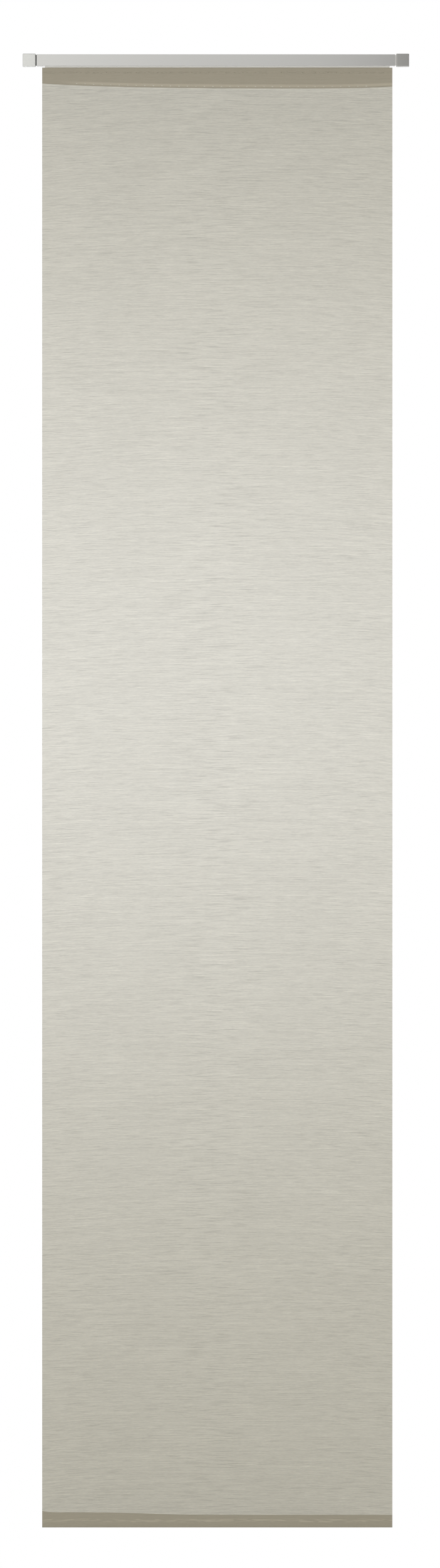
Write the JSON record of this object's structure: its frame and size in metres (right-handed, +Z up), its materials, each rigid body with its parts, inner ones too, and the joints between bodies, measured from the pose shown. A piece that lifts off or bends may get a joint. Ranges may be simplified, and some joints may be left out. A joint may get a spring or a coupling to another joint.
{
  "type": "sliding panel curtain",
  "caption": "Flat cloth panel with a turned heading and a weighted bottom hem, held by hook and loop tape on a carrier whose gliders run in a short square capped rail.",
  "frame": {"origin": "middle of the rail's top face, midway between its two screw holes", "axes": "+X along the rail to the right seen from the front, -Y is the front, +Z up"},
  "size_m": [0.662, 0.0224, 2.5239],
  "materials": {
    "rail_aluminium": "satin anodised, fine lines along the rail",
    "cap_plastic": "moulded plastic in a satin silver lacquer",
    "carrier_aluminium": "white powder coat",
    "glider_plastic": "moulded white acetal",
    "hook_tape": "woven nylon with small hooks",
    "loop_tape": "woven nylon with soft loops",
    "slub_cloth": "plain weave with slubs along the weft, slightly see-through",
    "bar_aluminium": "mill finish",
    "sewing_thread": "spun polyester thread"
  },
  "bodies": {
    "rail": {"rail": "rail_aluminium", "end_cap_left": "cap_plastic", "end_cap_right": "cap_plastic"},
    "panel": {"carrier": "carrier_aluminium", "glider_1": "glider_plastic", "glider_2": "glider_plastic", "glider_3": "glider_plastic", "glider_4": "glider_plastic", "hook_tape": "hook_tape", "loop_tape": "loop_tape", "fabric_panel": "slub_cloth", "weight_bar": "bar_aluminium", "tape_stitches": "sewing_thread", "heading_stitches": "sewing_thread", "hem_stitches": "sewing_thread"}
  },
  "joints": [
    {"name": "panel_slide", "type": "slide", "parent": "rail", "child": "panel", "axis": [1, 0, 0], "range_m": [-0.0157, 0.0111]}
  ]
}
